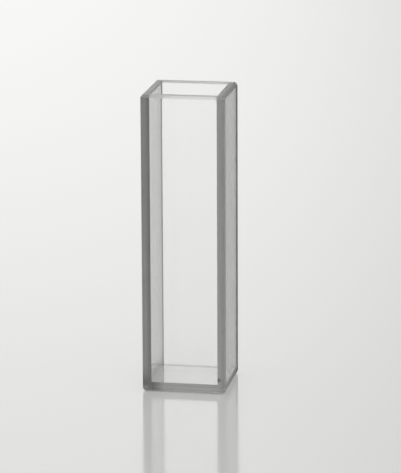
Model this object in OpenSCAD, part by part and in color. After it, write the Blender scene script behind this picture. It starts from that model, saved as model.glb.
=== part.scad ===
// Rectangular spectroscopy cell, open at the top, for a liquid sample.
// Five flat glass plates are fused into a tall square box: two polished windows that cover
// the whole front and back, two ground side walls and a ground base held between them.
// Light passes along Y, through both windows. The cell stands on z = 0, centred on the Z axis.

/* [Chamber] */
// Light path: the inside distance between the two windows
path_length = 10; // [5:0.5:40]
// Inside distance between the two side walls
chamber_w = 10; // [4:0.5:20]
// Overall height, from the ground underside to the rim
cell_h = 45; // [20:1:60]

/* [Plates] */
// Thickness of each polished window
window_t = 1.25; // [0.8:0.05:2.5]
// Thickness of each ground side wall
wall_t = 1.25; // [0.8:0.05:2.5]
// Thickness of the base
base_t = 1.25; // [0.8:0.05:3]

/* [Edges] */
// Leg of the 45 degree bevel ground along every outside edge
edge_bevel = 0.35; // [0.1:0.05:0.5]
// Leg of the fine bevel that breaks the inside edges of the mouth
mouth_bevel = 0.1; // [0.05:0.05:0.2]

/* [Hidden] */
cell_w = chamber_w + 2 * wall_t;
cell_d = path_length + 2 * window_t;
overrun = 1; // how far a cutting shape reaches past the surface that it cuts
clear_glass = [0.90, 0.93, 0.93, 0.35];
ground_glass = [0.68, 0.68, 0.66];

// A centred rectangle whose four corners are cut off at 45 degrees.
module bevelled_rectangle(w, h, leg) {
  x = w / 2;
  y = h / 2;
  polygon([
    [x, y - leg], [x - leg, y], [leg - x, y], [-x, y - leg],
    [-x, leg - y], [leg - x, -y], [x - leg, -y], [x, leg - y]
  ]);
}

// The outside of the finished cell: a block with all twelve edges bevelled.
// Each of the three prisms bevels the four edges that run along its own axis.
module outer_form() {
  translate([0, 0, cell_h / 2])
    intersection() {
      linear_extrude(cell_h, center = true)
        bevelled_rectangle(cell_w, cell_d, edge_bevel);
      rotate([90, 0, 0])
        linear_extrude(cell_d, center = true)
          bevelled_rectangle(cell_w, cell_h, edge_bevel);
      rotate([90, 0, 90])
        linear_extrude(cell_w, center = true)
          bevelled_rectangle(cell_d, cell_h, edge_bevel);
    }
}

// A long ridge with 45 degree sides along Y. Level with the rim it is wider than the opening
// by one bevel leg on each side, and it reaches past the rim and past both ends.
module mouth_ridge(opening, run) {
  half = opening / 2;
  rotate([90, 0, 0])
    linear_extrude(run + 2 * overrun, center = true)
      polygon([
        [-half, cell_h - mouth_bevel], [half, cell_h - mouth_bevel],
        [half + mouth_bevel + overrun, cell_h + overrun],
        [-half - mouth_bevel - overrun, cell_h + overrun]
      ]);
}

// The flare of the mouth: where the ridges of the two directions cross, all four inside
// edges are bevelled and their corners are mitred.
module mouth_flare() {
  intersection() {
    mouth_ridge(chamber_w, cell_d);
    rotate([0, 0, 90]) mouth_ridge(path_length, cell_w);
  }
}

// The part of the outer form inside a box, less the flare of the mouth.
module plate(low, high) {
  difference() {
    intersection() {
      outer_form();
      translate(low) cube(high - low);
    }
    mouth_flare();
  }
}

// Polished window across the whole front, seen face on by the light beam.
module front_window() {
  color(clear_glass)
    plate([-cell_w / 2, -cell_d / 2, 0], [cell_w / 2, -path_length / 2, cell_h]);
}

// The same window at the back.
module back_window() {
  color(clear_glass)
    plate([-cell_w / 2, path_length / 2, 0], [cell_w / 2, cell_d / 2, cell_h]);
}

// Ground side wall, full height, held between the windows.
module left_wall() {
  color(ground_glass)
    plate([-cell_w / 2, -path_length / 2, 0], [-chamber_w / 2, path_length / 2, cell_h]);
}

// The same wall on the other side.
module right_wall() {
  color(ground_glass)
    plate([chamber_w / 2, -path_length / 2, 0], [cell_w / 2, path_length / 2, cell_h]);
}

// Square base that closes the chamber, flush with the underside of the walls and windows.
module base() {
  color(ground_glass)
    plate([-chamber_w / 2, -path_length / 2, 0], [chamber_w / 2, path_length / 2, base_t]);
}

front_window();
back_window();
left_wall();
right_wall();
base();
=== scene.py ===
# %% [markdown]
# # A glass cuvette, plate by plate
#
# A cuvette holds a liquid in the light beam of an instrument. This one is five flat plates of
# fused silica: two polished windows at the front and back, two side walls that are ground
# matt on the outside, and a base between them. The plates are fused along their joints.
#
# The CAD model fixes every size, so it is loaded first and nothing below moves it. What is
# left for this script is how the glass looks: polish, grind, joints and light.

# %% Load the frame
import math
import bmesh
import bpy
from mathutils import Matrix, Vector


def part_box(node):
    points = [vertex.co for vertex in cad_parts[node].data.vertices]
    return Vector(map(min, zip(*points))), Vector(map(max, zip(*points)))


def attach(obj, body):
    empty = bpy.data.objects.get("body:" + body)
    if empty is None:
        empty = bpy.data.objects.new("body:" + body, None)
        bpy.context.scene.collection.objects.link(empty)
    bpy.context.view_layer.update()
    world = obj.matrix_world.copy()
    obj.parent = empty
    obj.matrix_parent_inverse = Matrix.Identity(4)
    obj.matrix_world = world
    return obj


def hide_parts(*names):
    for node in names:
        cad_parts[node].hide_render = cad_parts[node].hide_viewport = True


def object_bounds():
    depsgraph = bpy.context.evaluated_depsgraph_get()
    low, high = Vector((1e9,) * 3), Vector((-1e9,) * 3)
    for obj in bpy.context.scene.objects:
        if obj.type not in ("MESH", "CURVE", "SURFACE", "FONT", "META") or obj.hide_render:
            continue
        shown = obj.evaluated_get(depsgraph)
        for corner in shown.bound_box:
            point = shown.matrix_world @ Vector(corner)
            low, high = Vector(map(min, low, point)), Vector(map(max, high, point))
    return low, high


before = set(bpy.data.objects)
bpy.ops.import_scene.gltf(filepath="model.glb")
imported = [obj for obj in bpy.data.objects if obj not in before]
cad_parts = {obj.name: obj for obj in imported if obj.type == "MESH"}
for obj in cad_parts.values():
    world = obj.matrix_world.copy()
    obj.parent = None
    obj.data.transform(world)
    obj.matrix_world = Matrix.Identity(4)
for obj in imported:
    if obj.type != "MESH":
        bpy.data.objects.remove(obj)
cad_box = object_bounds()
print("CAD box in mm:", [[round(v * 1000, 3) for v in corner] for corner in cad_box])

# %% [markdown]
# ## Sizes
#
# Blender works in metres and a cuvette is made in tenths of a millimetre, so sizes are kept
# in millimetres here and scaled once, when a mesh is finished. Each plate's corners come from
# its CAD node, and the wall thickness and the chamber are worked out from those corners.

# %% Sizes of the cell
MM = 0.001
PLATES = ["front_window", "back_window", "left_wall", "right_wall", "base"]

plate_box = {}
for node in PLATES:
    low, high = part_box(node)
    plate_box[node] = (low / MM, high / MM)

CELL_LOW = cad_box[0] / MM
CELL_HIGH = cad_box[1] / MM
CELL = CELL_HIGH - CELL_LOW
BASE_TOP = plate_box["base"][1].z
CHAMBER_X = plate_box["right_wall"][0].x   # the inner face of the right wall
CHAMBER_Y = plate_box["back_window"][0].y  # the inner face of the back window
EDGE_BEVEL = 0.35   # leg of the bevel along every outside edge
MOUTH_BEVEL = 0.1   # leg of the fine bevel inside the rim
EDGE_ROUND = 0.18   # how far the grinding has softened the edges of a bevel
MOUTH_SOFT = 0.15   # the same inside the mouth, as a share of the above
JOINT_GAP = 0.01    # the film between two fused plates

print("cell", [round(v, 3) for v in CELL], "mm, base", round(BASE_TOP, 3),
      "mm, chamber", round(2 * CHAMBER_X, 3), "by", round(2 * CHAMBER_Y, 3), "mm")

# %% [markdown]
# ## Camera
#
# The cell is seen from a little above and a little to its right, through a long lens from
# half a metre away, as a catalogue picture is taken. A long lens keeps the upright edges
# nearly parallel. The small shift only places the cell in the frame.

# %% Camera
EYE = Vector((82.9, -456.7, 134.75))  # mm from the middle of the underside
TURN = math.radians(10.173)           # how far the view turns to the left of the Y axis
DIP = math.radians(13.473)            # how far it looks down
ROLL = math.radians(-0.27)
SENSOR = 36.0                         # mm
LENS = 243.7                          # mm
SHIFT = (0.0088, -0.0148)             # in widths of the picture
NEAREST = 0.01                        # m: nothing closer to the camera is drawn


def add_camera():
    """A camera at EYE that looks along TURN and DIP."""
    look = Vector((-math.sin(TURN) * math.cos(DIP), math.cos(TURN) * math.cos(DIP), -math.sin(DIP)))
    side = Vector((math.cos(TURN), math.sin(TURN), 0.0))
    side = Matrix.Rotation(ROLL, 3, -look) @ side
    up = side.cross(look)
    data = bpy.data.cameras.new("camera")
    data.sensor_width = SENSOR
    data.lens = LENS
    data.shift_x, data.shift_y = SHIFT
    data.clip_start = NEAREST
    camera = bpy.data.objects.new("camera", data)
    bpy.context.collection.objects.link(camera)
    turned = Matrix((side, up, -look)).transposed().to_4x4()
    camera.matrix_world = Matrix.Translation(EYE * MM) @ turned
    return camera


camera = add_camera()
bpy.context.scene.camera = camera
bpy.context.scene.view_settings.view_transform = "Standard"
print("camera", round((EYE - Vector((0, 0, CELL.z / 2))).length), "mm away, lens", LENS, "mm")

# %% [markdown]
# ## A shorthand for node trees
#
# Materials, the world and Geometry Nodes are all trees of nodes joined by links. Adding them
# one call at a time hides the idea, so two small classes do it. A `Wire` is one output socket:
# Python's operators on it add the Math nodes. A `Bench` is the tree being wired, and its
# `node` method adds any other node, with its settings first and its sockets after.

# %% Wires and the bench


class Wire:
    """One output socket, on which arithmetic adds Math nodes."""

    def __init__(self, bench, socket):
        self.bench = bench
        self.socket = socket

    def __add__(self, other):
        return self.bench.maths("ADD", self, other)

    def __radd__(self, other):
        return self.bench.maths("ADD", other, self)

    def __sub__(self, other):
        return self.bench.maths("SUBTRACT", self, other)

    def __rsub__(self, other):
        return self.bench.maths("SUBTRACT", other, self)

    def __mul__(self, other):
        return self.bench.maths("MULTIPLY", self, other)

    def __rmul__(self, other):
        return self.bench.maths("MULTIPLY", other, self)

    def __truediv__(self, other):
        return self.bench.maths("DIVIDE", self, other)

    def __rtruediv__(self, other):
        return self.bench.maths("DIVIDE", other, self)

    def __gt__(self, other):
        return self.bench.maths("GREATER_THAN", self, other)

    def __lt__(self, other):
        return self.bench.maths("LESS_THAN", self, other)

    def __abs__(self):
        return self.bench.maths("ABSOLUTE", self)

    def step(self, start, end):
        """0 up to start, 1 past end and a smooth rise between them."""
        return self.bench.node("ShaderNodeMapRange", {"interpolation_type": "SMOOTHSTEP"},
                               {"Value": self, "From Min": start, "From Max": end})


class Bench:
    """A node tree that is being wired."""

    def __init__(self, tree):
        self.tree = tree

    def node(self, kind, settings=None, sockets=None, out=0):
        """Add a node, apply its settings, fill its sockets and return one output."""
        made = self.tree.nodes.new(kind)
        for name, value in (settings or {}).items():
            if name == "stops":
                self.set_stops(made.color_ramp, value)
            else:
                setattr(made, name, value)
        for name, value in (sockets or {}).items():
            self.plug(made.inputs[name], value)
        return Wire(self, made.outputs[out])

    def maths(self, operation, *values):
        """A Math node on wires or numbers."""
        return self.node("ShaderNodeMath", {"operation": operation}, dict(enumerate(values)))

    def split(self, vector):
        """The x, y and z of a vector."""
        made = self.node("ShaderNodeSeparateXYZ", sockets={0: vector}).socket.node
        return [Wire(self, socket) for socket in made.outputs]

    def plug(self, socket, value):
        """Link a wire, or several, or set a plain value."""
        if isinstance(value, list):
            for each in value:
                self.tree.links.new(each.socket, socket)
        elif isinstance(value, Wire):
            self.tree.links.new(value.socket, socket)
        else:
            socket.default_value = value

    @staticmethod
    def set_stops(ramp, stops):
        """Give a colour ramp its (place, grey) stops."""
        while len(ramp.elements) < len(stops):
            ramp.elements.new(0.5)
        for element, (place, grey) in zip(ramp.elements, stops):
            element.position = place
            element.color = (grey, grey, grey, 1.0)


print("node helpers ready")

# %% [markdown]
# ## Table
#
# The cell stands on a pale glossy table. Clear glass has no colour of its own: it shows what
# stands around it, bent and mirrored, so the table matters more here than on most objects.
# It could be a box or a curved sheet, but only its top is ever seen, so a flat disc does.
#
# Light from all round throws almost no shadow, yet the little that gathers at the foot of the
# cell looks heavy beside so clear an object. So part of the table's tone is even, wherever it
# is seen straight, mirrored or through the glass. Matt faces aren't lit by that part.

# %% Table top
FLOOR_RADIUS = 3.0             # m
FLOOR_SIDES = 128              # straight sides of its outline
FLOOR_DROP = 0.05              # mm of air under the cell
FLOOR_GREY = 0.63              # the tone that lights other things
SEEN_GREY = 0.30               # the part of the tone that is seen shaded
SEEN_GLOW = 0.22               # and the part that is seen even
GLOW_FADE = (0.05, 0.6, 0.4)   # m: where the even part starts to fade and ends; how much goes
FLOOR_INDEX = 1.53
FLOOR_ROUGH = 0.11
FLOOR_BLUE = 0.985             # the share of blue in the greys of the table
WARMTH = 0.975                 # and in the greys of the cell


def new_material(name):
    """An empty material with its bench and its Principled shader node."""
    material = bpy.data.materials.new(name)
    material.use_nodes = True
    return material, Bench(material.node_tree), material.node_tree.nodes["Principled BSDF"]


def grey(bench, level, blue=WARMTH):
    """A grey from one number, with its share of blue."""
    return bench.node("ShaderNodeCombineColor", sockets={0: level, 1: level, 2: level * blue})


def seen_rays(bench):
    """1 where a surface is seen straight, mirrored or through glass, 0 for all other light."""
    seen = bench.node("ShaderNodeLightPath", out="Is Camera Ray")
    for ray in ("Is Glossy Ray", "Is Transmission Ray"):
        seen = bench.maths("MAXIMUM", seen, bench.node("ShaderNodeLightPath", out=ray))
    return seen


def table_top():
    """A glossy pale finish, partly even where it is seen."""
    material, bench, shader = new_material("table_top")
    seen = seen_rays(bench)
    own = FLOOR_GREY + (SEEN_GREY - FLOOR_GREY) * seen
    bench.plug(shader.inputs["Base Color"], grey(bench, own, FLOOR_BLUE))
    place = bench.node("ShaderNodeTexCoord", out="Object")
    away = bench.node("ShaderNodeVectorMath", {"operation": "LENGTH"}, {0: place}, out="Value")
    glow = SEEN_GLOW * seen * (1 - GLOW_FADE[2] * away.step(*GLOW_FADE[:2]))
    bench.plug(shader.inputs["Emission Color"], grey(bench, glow, FLOOR_BLUE))
    shader.inputs["Emission Strength"].default_value = 1.0
    shader.inputs["Roughness"].default_value = FLOOR_ROUGH
    shader.inputs["IOR"].default_value = FLOOR_INDEX
    return material


def add_floor():
    """A wide round table top just under the cell."""
    mesh = bpy.data.meshes.new("floor")
    outline = bmesh.new()
    bmesh.ops.create_circle(outline, cap_ends=True, radius=FLOOR_RADIUS, segments=FLOOR_SIDES)
    bmesh.ops.translate(outline, verts=outline.verts, vec=(0, 0, -FLOOR_DROP * MM))
    outline.to_mesh(mesh)
    outline.free()
    mesh.materials.append(table_top())
    floor = bpy.data.objects.new("floor", mesh)
    bpy.context.collection.objects.link(floor)
    return floor


floor = add_floor()
print("floor", FLOOR_RADIUS * 2, "m across")

# %% [markdown]
# ## Light
#
# Even light from all round would make every face the same white. A studio therefore puts a
# large soft light behind the glass on one side and leaves the other side darker, which draws
# the edges and gives the ground faces their grey. Area lamps could do it, but they show as
# hard shapes in polished faces, so both are soft patches in the world here.

# %% World light
ROOM = 0.95      # brightness of the even room
BOUNCES = 16     # light crosses many faces of clear glass before it gets out
# Each patch: turn from the Y axis, height, full out to, gone at (all degrees), brightness
SOFT_LIGHT = (-35, 17, 20, 34, 1.5)
DARK_SIDE = (35, 11, 24, 44, 0.3)
MIX_A, MIX_B, MIX_RESULT = 6, 7, 2   # the colour sockets of a Mix node


def add_world():
    """An even room with one soft bright patch and one soft dark patch."""
    world = bpy.data.worlds.new("studio")
    world.use_nodes = True
    bench = Bench(world.node_tree)
    direction = bench.node("ShaderNodeTexCoord", out="Generated")
    tone = (ROOM, ROOM, ROOM, 1)
    for turn, height, full, gone, level in (SOFT_LIGHT, DARK_SIDE):
        turned, raised = math.radians(turn), math.radians(height)
        towards = (math.sin(turned) * math.cos(raised), math.cos(turned) * math.cos(raised),
                   math.sin(raised))
        facing = bench.node("ShaderNodeVectorMath", {"operation": "DOT_PRODUCT"},
                            {0: direction, 1: towards}, out="Value")
        inside = facing.step(math.cos(math.radians(gone)), math.cos(math.radians(full)))
        tone = bench.node("ShaderNodeMix", {"data_type": "RGBA"},
                          {"Factor": inside, MIX_A: tone, MIX_B: (level, level, level, 1)},
                          out=MIX_RESULT)
    background = world.node_tree.nodes["Background"]
    bench.plug(background.inputs["Color"], tone)
    background.inputs["Strength"].default_value = 1.0
    return world


bpy.context.scene.world = add_world()
cycles = bpy.context.scene.cycles
cycles.max_bounces = BOUNCES
cycles.transmission_bounces = BOUNCES
cycles.glossy_bounces = BOUNCES
cycles.blur_glossy = 0.0   # the default loses light that has passed through ground glass
print("room", ROOM, "soft light", SOFT_LIGHT[-1], "dark side", DARK_SIDE[-1])

# %% [markdown]
# ## Glass
#
# Every surface of the cell is the same silica, and only the last step of its making differs,
# from a polish that leaves nothing to see to a coarse grinding wheel. So one helper makes the
# glass, and each finish adds its own tone, roughness and grain. The patterns are worked out
# from the place on the cell in millimetres, so they stay put from every side.
#
# The cell is hardly ever the same tone from end to end. Where a tone changes along a face or
# a joint, it is painted light and shade, a plain tone fixed to that place on the plate, and for
# some of it no cause is known.

# %% Shared settings of the glass
SILICA_INDEX = 1.458
CLEAR = 1.0      # share of the light that goes into the glass
OPAQUE = 0.0


def glass(name, transmission):
    """A glass material whose colour, roughness and grain are still to be wired."""
    material, bench, shader = new_material(name)
    shader.inputs["IOR"].default_value = SILICA_INDEX
    shader.inputs["Transmission Weight"].default_value = transmission
    place = bench.node("ShaderNodeTexCoord", out="Object")
    return material, bench, shader, place


def in_mm(bench, place):
    """The x, y and z of a point on the cell, in millimetres."""
    return [axis * (1 / MM) for axis in bench.split(place)]


def noise(bench, place, size, stretch=(1, 1, 1), detail=2.0):
    """Noise of 0 to 1 whose blobs are about size millimetres across."""
    scale = tuple(1 / (size * MM * s) for s in stretch)
    spread = bench.node("ShaderNodeMapping", sockets={"Vector": place, "Scale": scale})
    return bench.node("ShaderNodeTexNoise", sockets={"Vector": spread, "Scale": 1.0, "Detail": detail})


def gritty(bench, shader, place, rough, grit):
    """An uneven roughness and a shallow bump, as loose or bonded grit leaves them."""
    size, spread, depth, strength = grit
    pits = noise(bench, place, size, detail=1.0)
    bench.plug(shader.inputs["Roughness"], rough + spread * (pits - 0.5))
    bump = bench.node("ShaderNodeBump", sockets={"Height": pits, "Distance": depth * MM,
                                                 "Strength": strength})
    bench.plug(shader.inputs["Normal"], bump)


print("silica, index", SILICA_INDEX)

# %% [markdown]
# ### Polished faces
#
# Both windows and the inside of the chamber are polished, because the measuring light passes
# there. Plain clear glass would do from afar. A breath of haze and a polish that isn't quite
# even keep the broad faces from looking empty close up.

# %% Polished glass
POLISH_TONE = 0.985
POLISH_CLOUD = (9.0, 0.012)    # mm: size of the clouds; how far they change the tone
HAZE = (3.0, 0.012)            # mm: size of the hazy spots; their roughness
HAZE_FROM = (0.5, 0.8)         # the noise at which a spot starts and is full


def polished_glass():
    """Clear faces: a breath of haze and a polish that is not quite even."""
    material, bench, shader, place = glass("polished_glass", CLEAR)
    cloud = noise(bench, place, POLISH_CLOUD[0])
    tone = POLISH_TONE + POLISH_CLOUD[1] * (cloud - 0.5)
    bench.plug(shader.inputs["Base Color"], grey(bench, tone, blue=1.0))
    haze = noise(bench, place, HAZE[0], detail=4.0).step(*HAZE_FROM)
    bench.plug(shader.inputs["Roughness"], HAZE[1] * haze)
    return material


POLISHED = polished_glass()
print(POLISHED.name, POLISH_TONE)

# %% [markdown]
# ### Ground side faces
#
# The outsides of the side walls and the underside are lapped with fine loose grit. Light still
# comes through, but it is scattered, and the lapping leaves faint upright streaks. The grit is
# far finer than any mesh, so roughness carries it, with a very shallow bump for the grain.
#
# The right wall has painted shade in a dark line along its foot, where the base is fused on
# inside, and in another up its back. The left wall has a soft patch of painted shade low down,
# and both side faces are painted lighter low down and towards the back.

# %% Ground side faces
LAPPED = (0.07, 0.12, 0.004, 0.35)   # grit: size in mm, spread of roughness, depth in mm, strength
SIDE_TONE = 0.92
SIDE_ROUGH = 0.25
SIDE_CLOUD = (4.0, 0.06)        # mm: size of the clouds; how far they change the tone
STREAK = (0.6, 40, 0.2)         # mm: width of the upright streaks; length over width; strength
# painted shade: a dark line along the right wall's foot, and another up its back
FOOT_SHADE_LINE = (0.3, 0.5, 0.8, 1.6)   # mm: where the dark line along the foot starts, is full, ends
FOOT_SHADE_TONE = 0.8                 # what is left of the tone in that line
BACK_SHADE_LINE = (4.2, 4.7)          # mm: where the dark line up the back starts and is full
BACK_SHADE_TONE = 0.64                # what is left of the tone in that line
LINE_ROUGH = 0.6                # roughness in both lines
# painted shade in a soft patch low on the left wall
LEFT_SHADE_PATCH = (2.4, 4.2, 0.37)    # mm: where the left patch is darkest and ends; what is left of it
LEFT_SLOPE = 0.12               # how fast that patch gets lower towards the back
# painted light on the side faces, low down and towards the back
LOW_PAINTED_LIGHT = (4.0, 25.0, 0.06)    # mm: height up to which faces are lighter, where it ends; how much
BACK_PAINTED_LIGHT = 0.08                # how much lighter the faces get towards the back
BACK_FINE = (-6.0, 4.0, 0.07)   # mm: where the right face starts to get finer, is finest; how much
MIDDLE = (-1.0, 1.0)            # mm: where one half of the cell passes into the other


def painted_side_light_and_shade(x, y, z, right):
    """How the tone changes over a side face: painted light low and at the back, painted shade low
    left.
    """
    sloped = z + LEFT_SLOPE * (y + CHAMBER_Y)
    low_left_shade = (1 - sloped.step(*LEFT_SHADE_PATCH[:2])) * (1 - right)
    lifted = 1 - z.step(*LOW_PAINTED_LIGHT[:2])
    tone = (1 + BACK_PAINTED_LIGHT * y.step(0.0, CHAMBER_Y)) * (1 + LOW_PAINTED_LIGHT[2] * lifted)
    return tone * (1 - (1 - LEFT_SHADE_PATCH[2]) * low_left_shade)


def ground_side():
    """Lapped faces: matt, with faint upright streaks, painted shade in dark lines on the right one,
    and painted light and shade over both.
    """
    material, bench, shader, place = glass("ground_side", CLEAR)
    x, y, z = in_mm(bench, place)
    right = x.step(*MIDDLE)
    cloud = noise(bench, place, SIDE_CLOUD[0])
    streak = noise(bench, place, STREAK[0], stretch=(1, 1, STREAK[1]))
    tone = SIDE_TONE + SIDE_CLOUD[1] * (cloud - 0.5) + STREAK[2] * (streak - 0.5)
    tone = tone * painted_side_light_and_shade(x, y, z, right)
    # painted shade along the right wall's foot and up its back
    foot = z.step(*FOOT_SHADE_LINE[:2]) * (1 - z.step(*FOOT_SHADE_LINE[2:])) * right
    back = y.step(*BACK_SHADE_LINE) * right
    tone = tone * (1 - (1 - FOOT_SHADE_TONE) * foot) * (1 - (1 - BACK_SHADE_TONE) * back)
    bench.plug(shader.inputs["Base Color"], grey(bench, bench.maths("MINIMUM", tone, 1.0)))
    rough = SIDE_ROUGH - BACK_FINE[2] * y.step(*BACK_FINE[:2]) * right
    rough = rough + (LINE_ROUGH - SIDE_ROUGH) * bench.maths("MAXIMUM", foot, back)
    gritty(bench, shader, place, rough, LAPPED)
    return material


GROUND_SIDE = ground_side()
print(GROUND_SIDE.name, "tone", SIDE_TONE, "roughness", SIDE_ROUGH)

# %% [markdown]
# ### Ground underside
#
# The underside of the base is lapped flat with the same grit, so that the cell stands without
# rocking. It could share the finish of the side faces. But it is seen from above, through the
# clear floor of the chamber and with the table right under it, and there it looks darker than
# the sides do. So it has a darker tone of its own, which is painted shade, and keeps the grit.

# %% Ground underside
# painted shade: darker than the side faces, which have the same grit
UNDER_SHADE_TONE = 0.56
UNDER_ROUGH = 0.25
UNDER_CLOUD = (3.0, 0.06)       # mm: size of the clouds; how far they change the tone


def ground_underside():
    """The lapped underside, darker in painted shade, which takes light in from the surface that the
    cell stands on.
    """
    material, bench, shader, place = glass("ground_underside", CLEAR)
    cloud = noise(bench, place, UNDER_CLOUD[0])
    tone = UNDER_SHADE_TONE + UNDER_CLOUD[1] * (cloud - 0.5)
    bench.plug(shader.inputs["Base Color"], grey(bench, tone))
    gritty(bench, shader, place, UNDER_ROUGH, LAPPED)
    return material


UNDERSIDE = ground_underside()
print(UNDERSIDE.name, "tone", UNDER_SHADE_TONE, "roughness", UNDER_ROUGH)

# %% [markdown]
# ### Ground edges
#
# The bevels and the rim are ground last of all, on a wheel that leaves marks along its path.
# One grey for all of them would do for a distant view, but they catch light very differently:
# the bevels let it into the glass, while the windows' narrow side edges look nearly black.
# So each kind has its own tone, roughness, clearness and shine, and those tones carry painted
# light and shade, darkest on the back window's side edges. The windows' rim has painted shade
# towards both ends, and the foot towards the left one.

# %% Ground bevels and rim
WHEEL = (0.05, 0.1, 0.004, 0.4)          # its grit, in the same four terms as LAPPED
WHEEL_MARK = (0.25, 4, 0.12)             # mm: width of its marks; length over width; strength
# Each kind of edge: tone, roughness, share of the light that goes into the glass, shine
EDGE = (0.75, 0.45, 0.9, 0.5)            # the flat rim
FRONT_EDGE = (0.35, 0.5, 0.0, 0.4)       # the front window's side edges
# painted shade: the back window's side edges are a darker copy of the front ones
BACK_SHADED_EDGE = (0.22, 0.9, 0.0, 0.1)        # the back window's side edges
FOOT_EDGE = (0.85, 0.3, 0.65, 0.5)       # the foot's bevels and the upright plates' undersides
WINDOW_BEVEL = (0.9, 0.25, 1.0, 0.5)     # the windows' upright bevels
WINDOW_RIM = (1.0, 0.28, 0.79, 0.5)      # the windows' bevels along the rim
WALL_RIM = (0.88, 0.45, 0.83, 0.5)       # the side walls' bevels along the rim
# painted shade towards the ends of the foot and of the windows' rim
FOOT_LEFT_SHADE = 0.58                         # what is left of FOOT_EDGE's tone at the left end
RIM_LEFT_SHADE = 0.68                          # what is left of WINDOW_RIM's tone at the left end
RIM_RIGHT_SHADE = 0.7                          # and over the right wall
LEFT_END = (-CHAMBER_X - 1.0, 0.0)       # mm: where the left end is darkest and where it ends
RIGHT_END = (CHAMBER_X - 0.2, CHAMBER_X + 0.3)   # mm: where the right end starts and is full


def ground_edge(name, tone, rough, clear, shine, left=1.0, right=1.0):
    """Coarser ground faces along the edges, marked along the wheel's path, with painted shade towards
    the ends.
    """
    material, bench, shader, place = glass(name, clear)
    shader.inputs["Specular IOR Level"].default_value = shine
    width, length, strength = WHEEL_MARK
    mark = noise(bench, place, width, stretch=(1, 1, length), detail=3.0)
    x, _, _ = in_mm(bench, place)
    # painted shade towards the left end, and over the right wall
    end_shade = left + (1 - left) * x.step(*LEFT_END)
    end_shade = end_shade * (1 - (1 - right) * x.step(*RIGHT_END))
    marked = tone * end_shade * (1 + strength * (mark - 0.5))
    bench.plug(shader.inputs["Base Color"], grey(bench, marked))
    gritty(bench, shader, place, rough, WHEEL)
    return material


GROUND_EDGE = ground_edge("ground_edge", *EDGE)
FRONT_SIDE = ground_edge("front_window_edge", *FRONT_EDGE)
BACK_SHADED_SIDE = ground_edge("back_window_shaded_edge", *BACK_SHADED_EDGE)
FOOT_BEVEL = ground_edge("foot_bevel", *FOOT_EDGE, left=FOOT_LEFT_SHADE)
FINE_BEVEL = ground_edge("window_bevel", *WINDOW_BEVEL)
WINDOW_RIM_BEVEL = ground_edge("window_rim_bevel", *WINDOW_RIM, left=RIM_LEFT_SHADE, right=RIM_RIGHT_SHADE)
WALL_RIM_BEVEL = ground_edge("wall_rim_bevel", *WALL_RIM)
EDGES = [GROUND_EDGE, FRONT_SIDE, BACK_SHADED_SIDE, FOOT_BEVEL, FINE_BEVEL, WINDOW_RIM_BEVEL,
         WALL_RIM_BEVEL]
print("ground edges:", ", ".join(edge.name for edge in EDGES))

# %% [markdown]
# ### Bond lines
#
# The joints are what tells a viewer that this is five plates and not a hollow block. Clear
# glass that touches clear glass would show nothing, and an air gap would show as a mirror. So
# the plates stand a hundredth of a millimetre apart, and the faces at that film are grey. Only
# at the sides and back of the base does the film let light through.
#
# The grey isn't even. Painted light falls from the outside inwards across the left wall's end,
# and painted shade darkens the base's left end, the lower left corner and the right wall's
# outside; painted light brightens the lower left strips, the joints' foot and the back left
# joint. Streaks run along each joint, and one small flaw sits low on the right.

# %% Bond lines
# the joint's own grey, with painted light falling inwards across the left wall's end and painted shade
# at the base's left end and the right wall's outside
BOND_GREY_LIGHT_AND_SHADE = [(-6.25, 0.46), (-5.9, 0.345), (-5.55, 0.22), (-5.35, 0.16), (-5.15, 0.125),
              (-4.9, 0.125), (-3.0, 0.34), (4.9, 0.34), (5.0, 0.32), (6.25, 0.28)]  # x in mm, grey
BOND_ROUGH = 0.5
MOTTLE = (0.5, 0.1)            # mm: size of the blotches; how far they change tone and roughness
BOND_STREAK = (0.22, 60, 0.5)  # mm: width of the streaks; length over width; strength
BASE_JOINT = (CHAMBER_X - 0.02, CHAMBER_X)   # mm: the base's joints end here, the walls' start
WALL_END = (-CHAMBER_X - 0.1, -CHAMBER_X)    # mm: the end of the left wall, up to its inner face
# painted light on the lower left strips and along the joints' foot
BOND_PAINTED_LIGHT = (5.0, 22.0, 0.15)  # mm: the lower part of the left strips; how much lighter it is
FOOT_PAINTED_LIGHT = (0.35, 0.7, 0.3)   # mm: the joint's lower edge; how much lighter it is
# painted light on the outer half of the back left joint
BACK_BOND_LIGHT = 0.4                # how much lighter the outer half of the back left joint is
OUTER_HALF = (-CHAMBER_X - 0.6, -CHAMBER_X - 0.2)     # mm: where that half is full and ends
# painted shade in the lower left corner of the joints
CORNER_SHADE = 0.66            # what is left of the tone in the lower left corner
CORNER_UP = (0.5, 4.0)         # mm: up to where the corner is darkest, and where it ends
CORNER_FOOT = (0.3, 1.1, 0.3)  # mm: its lower edge; how much of it is there
CORNER_ACROSS = (-CHAMBER_X - 0.6, -CHAMBER_X + 1.5)  # mm: the same from left to right
CORNER_MORE = 0.3              # the darkest part of the corner, at the end of the left wall
CORNER_DARKEST = (-CHAMBER_X - 0.7, -CHAMBER_X - 0.2)  # mm: where that part is full and ends
NOTCH = (5.25, 1.95, 0.35, 0.4)   # mm: x and z of a small dark flaw, its size and its tone
NOTCH_SOFT = 0.3               # the share of that size where the flaw is full
FAINT_TONE = 0.9               # how much the base's other three joints let through


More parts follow.
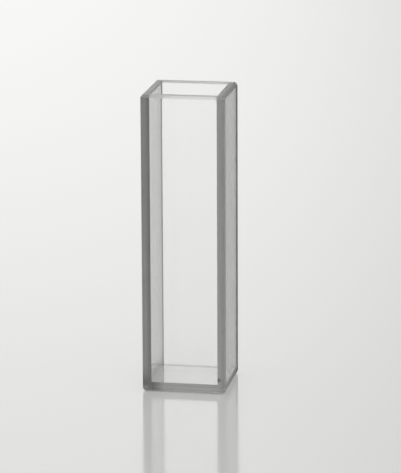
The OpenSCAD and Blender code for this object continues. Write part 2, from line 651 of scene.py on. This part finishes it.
def painted_corner_light_and_shade(x, z):
    """Painted shade in the lower left corner, on top of painted light on the lower left strips and the
    joints' foot.
    """
    weak = CORNER_FOOT[2]
    low = (1 - z.step(*CORNER_UP)) * (weak + (1 - weak) * z.step(*CORNER_FOOT[:2]))
    shade = 1 - (1 - CORNER_SHADE) * low * (1 - x.step(*CORNER_ACROSS))
    shade = shade - CORNER_MORE * low * (1 - x.step(*CORNER_DARKEST))
    lifted = (1 - z.step(*BOND_PAINTED_LIGHT[:2])) * (1 - x.step(*WALL_END))
    foot = 1 - z.step(*FOOT_PAINTED_LIGHT[:2])
    return shade * (1 + FOOT_PAINTED_LIGHT[2] * foot) * (1 + BOND_PAINTED_LIGHT[2] * lifted)


def flaw_shade(x, y, z):
    """One small round flaw on the front joint."""
    flaw_x, flaw_z, size, tone = NOTCH
    away = ((x - flaw_x) * (x - flaw_x) + (z - flaw_z) * (z - flaw_z)) / (size * size)
    flaw = (1 - away.step(NOTCH_SOFT, 1.0)) * (1 - y.step(*MIDDLE))
    return 1 - (1 - tone) * flaw


def bond_streak(bench, place, x):
    """Streaks along each joint: upright on the walls' joints, level on the base's."""
    width, length, strength = BOND_STREAK
    upright = noise(bench, place, width, stretch=(1, 1, length))
    level = noise(bench, place, width, stretch=(length, 1, 1))
    between = 1 - abs(x).step(*BASE_JOINT)
    return strength * (upright + (level - upright) * between - 0.5)


def bond_line():
    """The grey film where two plates are fused, a little uneven from side to side, with painted light
    and shade across it.
    """
    material, bench, shader, place = glass("bond_line", OPAQUE)
    x, y, z = in_mm(bench, place)
    width = 2 * CELL_HIGH.x
    stops = [(at / width + 0.5, tone) for at, tone in BOND_GREY_LIGHT_AND_SHADE]
    # the joint's grey, with its painted light and shade
    level = bench.node("ShaderNodeValToRGB", {"stops": stops}, {"Fac": x / width + 0.5})
    mottle = MOTTLE[1] * (noise(bench, place, MOTTLE[0], detail=3.0) - 0.5)
    shade = painted_corner_light_and_shade(x, z) * flaw_shade(x, y, z)
    # painted light on the outer half of the back left joint
    shade = shade * (1 + BACK_BOND_LIGHT * y.step(*MIDDLE) * (1 - x.step(*OUTER_HALF)))
    shade = shade * (1 + mottle + bond_streak(bench, place, x))
    tone = bench.node("ShaderNodeVectorMath", {"operation": "SCALE"}, {0: level, "Scale": shade})
    bench.plug(shader.inputs["Base Color"], tone)
    bench.plug(shader.inputs["Roughness"], BOND_ROUGH + mottle)
    return material


def faint_bond():
    """The film at the base's other three joints, which lets light through."""
    material, bench, shader, place = glass("faint_bond", CLEAR)
    mottle = MOTTLE[1] * (noise(bench, place, MOTTLE[0], detail=3.0) - 0.5)
    bench.plug(shader.inputs["Base Color"], grey(bench, FAINT_TONE * (1 + mottle)))
    bench.plug(shader.inputs["Roughness"], BOND_ROUGH + mottle)
    return material


BOND = bond_line()
FAINT_BOND = faint_bond()
print(BOND.name, "with", len(BOND_GREY_LIGHT_AND_SHADE), "tones, and", FAINT_BOND.name)

# %% [markdown]
# ## Plates
#
# The maker fuses plain rectangular plates first and grinds the bevels along the outside of
# the finished block afterwards. The Geometry Nodes tree works in that order too. It makes
# the bevelled block once, as the hull of three boxes that each reach the full size along one
# axis, then keeps only the part that lies between one plate's corners, and takes the fine
# bevel of the mouth away. One tree so makes all five plates, and their outside faces line up
# without any fitting. It also gives each face its finish, by the direction it looks in.

# %% The plate tree
FINISH_SOCKETS = ["Outer Side", "Inner Side", "Front", "Back", "Top", "Underside", "Bevels",
                  "Rim Bevels", "Foot Bevels"]
FLARE_THIN = 0.01     # mm: thickness of the two slabs that the mouth's funnel spans
SOFT_TURN = (20, 70)  # degrees: edges that turn less are flat, and those that turn more are joints
MOUTH_BAND = 0.2      # mm: edges this near to the mouth count as its own
OUTSIDE_BAND = 0.1    # mm: side faces this near to the outside count as outer ones
SQUARE = 0.99         # a face looks along an axis if this much of its normal does
LEANING = 0.3         # and a bevel belongs to the rim or foot if this much looks up or down


def new_geometry_tree(name, inputs):
    """A modifier tree with named inputs and one geometry output."""
    tree = bpy.data.node_groups.new(name, "GeometryNodeTree")
    tree.is_modifier = True
    tree.interface.new_socket("Geometry", in_out="INPUT", socket_type="NodeSocketGeometry")
    for label, kind in inputs:
        tree.interface.new_socket(label, in_out="INPUT", socket_type=kind)
    tree.interface.new_socket("Geometry", in_out="OUTPUT", socket_type="NodeSocketGeometry")
    bench = Bench(tree)
    group = tree.nodes.new("NodeGroupInput")
    wires = {socket.name: Wire(bench, socket) for socket in group.outputs if socket.name}
    return tree, bench, wires


def vector_maths(bench, operation, a, b):
    """A Vector Math node on two vectors."""
    return bench.node("ShaderNodeVectorMath", {"operation": operation}, {0: a, 1: b})


def block(bench, size, centre):
    """A solid box of the given size around a centre."""
    cube = bench.node("GeometryNodeMeshCube", sockets={"Size": size})
    return bench.node("GeometryNodeTransform", sockets={"Geometry": cube, "Translation": centre})


def hull(bench, *shapes):
    """The convex hull of several shapes."""
    joined = bench.node("GeometryNodeJoinGeometry", sockets={0: list(shapes)})
    return bench.node("GeometryNodeConvexHull", sockets={0: joined})


def vector(bench, x, y, z):
    """Three numbers or wires as one vector."""
    return bench.node("ShaderNodeCombineXYZ", sockets={0: x, 1: y, 2: z})


def bevelled_block(bench, cell_size, bevel):
    """The outside of the cell, standing on the ground."""
    width, depth, height = bench.split(cell_size)
    cut = 2 * bevel
    middle = vector(bench, 0, 0, height * 0.5)
    return hull(bench,
                block(bench, vector(bench, width, depth - cut, height - cut), middle),
                block(bench, vector(bench, width - cut, depth, height - cut), middle),
                block(bench, vector(bench, width - cut, depth - cut, height), middle))


def between_corners(bench, low, high):
    """A plain box between two corners."""
    total = vector_maths(bench, "ADD", high, low)
    centre = bench.node("ShaderNodeVectorMath", {"operation": "SCALE"}, {0: total, "Scale": 0.5})
    return block(bench, vector_maths(bench, "SUBTRACT", high, low), centre)


def mouth_flare(bench, mouth_size, height, leg):
    """A funnel that cuts the mouth's bevel: two legs wider on each side, over two legs of height."""
    wide, deep, _ = bench.split(mouth_size)
    return hull(bench,
                block(bench, vector(bench, wide, deep, FLARE_THIN),
                      vector(bench, 0, 0, height - leg + FLARE_THIN / 2)),
                block(bench, vector(bench, wide + 4 * leg, deep + 4 * leg, FLARE_THIN),
                      vector(bench, 0, 0, height + leg + FLARE_THIN / 2)))


def soften_marks(bench, shape, mouth_size):
    """Mark the ground edges for softening: those of a bevel, which turn by about 45 degrees."""
    turn = bench.node("GeometryNodeInputMeshEdgeAngle")
    least, most = (math.radians(angle) for angle in SOFT_TURN)
    soft = (turn > least) * (turn < most)
    wide, deep, _ = bench.split(mouth_size)
    x, y, _ = bench.split(bench.node("GeometryNodeInputPosition"))
    off_mouth = bench.maths("MAXIMUM", abs(x) > wide * 0.5 + MOUTH_BAND,
                            abs(y) > deep * 0.5 + MOUTH_BAND)
    soft = soft * (MOUTH_SOFT + (1 - MOUTH_SOFT) * off_mouth)
    return bench.node("GeometryNodeStoreNamedAttribute", {"data_type": "FLOAT", "domain": "EDGE"},
                      {"Geometry": shape, "Name": "bevel_weight_edge", "Value": soft})


def faces_of(bench, width):
    """Which faces take each finish. All start as bevels, and a later entry wins."""
    x, y, z = bench.split(bench.node("GeometryNodeInputNormal"))
    sideways = abs(x) > SQUARE
    place_x, _, _ = bench.split(bench.node("GeometryNodeInputPosition"))
    at_outside = abs(place_x) > width * 0.5 - OUTSIDE_BAND
    return {"Bevels": True, "Rim Bevels": z > LEANING, "Foot Bevels": z < -LEANING,
            "Front": y < -SQUARE, "Back": y > SQUARE, "Top": z > SQUARE, "Underside": z < -SQUARE,
            "Outer Side": sideways * at_outside, "Inner Side": sideways * (1 - at_outside)}


def plate_tree():
    """Geometry Nodes: bevelled block, kept between two corners, with a finish on each face."""
    inputs = [("Cell Size", "NodeSocketVector"), ("Edge Bevel", "NodeSocketFloat"),
              ("Low Corner", "NodeSocketVector"), ("High Corner", "NodeSocketVector"),
              ("Mouth Size", "NodeSocketVector"), ("Mouth Bevel", "NodeSocketFloat")]
    inputs += [(name, "NodeSocketMaterial") for name in FINISH_SOCKETS]
    tree, bench, given = new_geometry_tree("fused_plate", inputs)
    width, _, height = bench.split(given["Cell Size"])
    outside = bevelled_block(bench, given["Cell Size"], given["Edge Bevel"])
    inside = between_corners(bench, given["Low Corner"], given["High Corner"])
    kept = bench.node("GeometryNodeMeshBoolean", {"operation": "INTERSECT", "solver": "EXACT"},
                      {1: [outside, inside]})
    flare = mouth_flare(bench, given["Mouth Size"], height, given["Mouth Bevel"])
    shaped = bench.node("GeometryNodeMeshBoolean", {"operation": "DIFFERENCE", "solver": "EXACT"},
                        {0: kept, 1: flare})
    marked = soften_marks(bench, shaped, given["Mouth Size"])
    geometry = bench.node("GeometryNodeRealizeInstances", sockets={0: marked})
    for name, where in faces_of(bench, width).items():
        geometry = bench.node("GeometryNodeSetMaterial", sockets={
            "Geometry": geometry, "Selection": where, "Material": given[name]})
    end = tree.nodes.new("NodeGroupOutput")
    bench.plug(end.inputs[0], geometry)
    return tree


PLATE_TREE = plate_tree()
print(PLATE_TREE.name, "has", len(PLATE_TREE.nodes), "nodes")

# %% [markdown]
# A modifier keeps the values of a tree's inputs under the sockets' identifiers. The result
# is turned into a plain mesh while it is still in millimetres, because the boolean steps and
# the tiny bevels are steadier at that size, and only then scaled to metres.

# %% Turn a tree into a plain mesh
SOFT_SEGMENTS = 3     # faces across a softened edge


def run_tree(name, tree, values, soft_edge=0.0):
    """Run a geometry tree on an empty mesh and return the finished object, in metres."""
    piece = bpy.data.objects.new(name, bpy.data.meshes.new(name + "_start"))
    bpy.context.collection.objects.link(piece)
    modifier = piece.modifiers.new("shape", "NODES")
    modifier.node_group = tree
    for item in tree.interface.items_tree:
        if item.in_out == "INPUT" and item.name in values:
            modifier[item.identifier] = values[item.name]
    if soft_edge:
        soften = piece.modifiers.new("soft_edge", "BEVEL")
        soften.limit_method = "WEIGHT"
        soften.width = soft_edge
        soften.segments = SOFT_SEGMENTS
    evaluated = piece.evaluated_get(bpy.context.evaluated_depsgraph_get())
    mesh = bpy.data.meshes.new_from_object(evaluated)
    mesh.name = name
    wanted = sorted({face.material_index for face in mesh.polygons})
    finishes = [mesh.materials[index] for index in wanted]
    slots = [wanted.index(face.material_index) for face in mesh.polygons]
    mesh.materials.clear()
    for finish in finishes:
        mesh.materials.append(finish)
    mesh.polygons.foreach_set("material_index", slots)
    mesh.transform(Matrix.Scale(MM, 4))
    piece.modifiers.clear()
    piece.data = mesh
    return piece


def report(piece):
    """Print a piece's size and whether its mesh is closed."""
    check = bmesh.new()
    check.from_mesh(piece.data)
    open_edges = sum(1 for edge in check.edges if not edge.is_manifold)
    volume = check.calc_volume() / MM ** 3
    check.free()
    size = [round(v / MM, 3) for v in piece.dimensions]
    print(f"{piece.name}: {size} mm, {len(piece.data.polygons)} faces, "
          f"{open_edges} open edges, {volume:.1f} mm3, {len(piece.data.materials)} finishes")


# %% [markdown]
# ### The five plates
#
# The two windows cover the full width at the front and back, the side walls stand between them,
# and the base sits between all four. That is why the grey ends of the walls and the base show a
# plate's thickness behind the front face. Each plate could have a tree of its own, or be drawn
# by hand. One tree with a list of finishes for each plate is shorter, and no plate can drift
# away from its neighbours. The back window is the front one with side edges in darker,
# painted shade.

# %% Make the five plates
UPRIGHT = {"Top": GROUND_EDGE, "Underside": FOOT_BEVEL, "Bevels": GROUND_EDGE,
           "Foot Bevels": FOOT_BEVEL}
FRONT = {**UPRIGHT, "Outer Side": FRONT_SIDE, "Inner Side": POLISHED, "Front": POLISHED,
         "Back": POLISHED, "Bevels": FINE_BEVEL, "Rim Bevels": WINDOW_RIM_BEVEL}
BACK = {**FRONT, "Outer Side": BACK_SHADED_SIDE}
WALL = {**UPRIGHT, "Outer Side": GROUND_SIDE, "Inner Side": POLISHED, "Front": BOND, "Back": BOND,
        "Rim Bevels": WALL_RIM_BEVEL}
BASE = {"Outer Side": FAINT_BOND, "Inner Side": FAINT_BOND, "Front": BOND, "Back": FAINT_BOND,
        "Top": POLISHED, "Underside": UNDERSIDE, "Bevels": BOND, "Rim Bevels": BOND,
        "Foot Bevels": BOND}
FINISHES = {"front_window": FRONT, "back_window": BACK, "left_wall": WALL,
            "right_wall": WALL, "base": BASE}
# The windows run the full width. The walls and the base stop short by the film of the joint.
FILM = {"front_window": (0, 0), "back_window": (0, 0), "left_wall": (0, JOINT_GAP),
        "right_wall": (0, JOINT_GAP), "base": (JOINT_GAP, JOINT_GAP)}


def make_plate(node):
    """One plate of the cell, standing in for its CAD node."""
    low, high = plate_box[node]
    film = Vector((*FILM[node], 0))
    values = {"Cell Size": CELL, "Edge Bevel": EDGE_BEVEL,
              "Low Corner": low + film, "High Corner": high - film,
              "Mouth Size": Vector((2 * CHAMBER_X, 2 * CHAMBER_Y, 0)), "Mouth Bevel": MOUTH_BEVEL}
    values.update(FINISHES[node])
    piece = run_tree(node + "_glass", PLATE_TREE, values, soft_edge=EDGE_ROUND)
    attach(piece, "root")
    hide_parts(node)
    report(piece)
    return piece


plates = [make_plate(node) for node in PLATES]
print(len(plates), "plates,", sum(len(plate.data.polygons) for plate in plates), "faces")
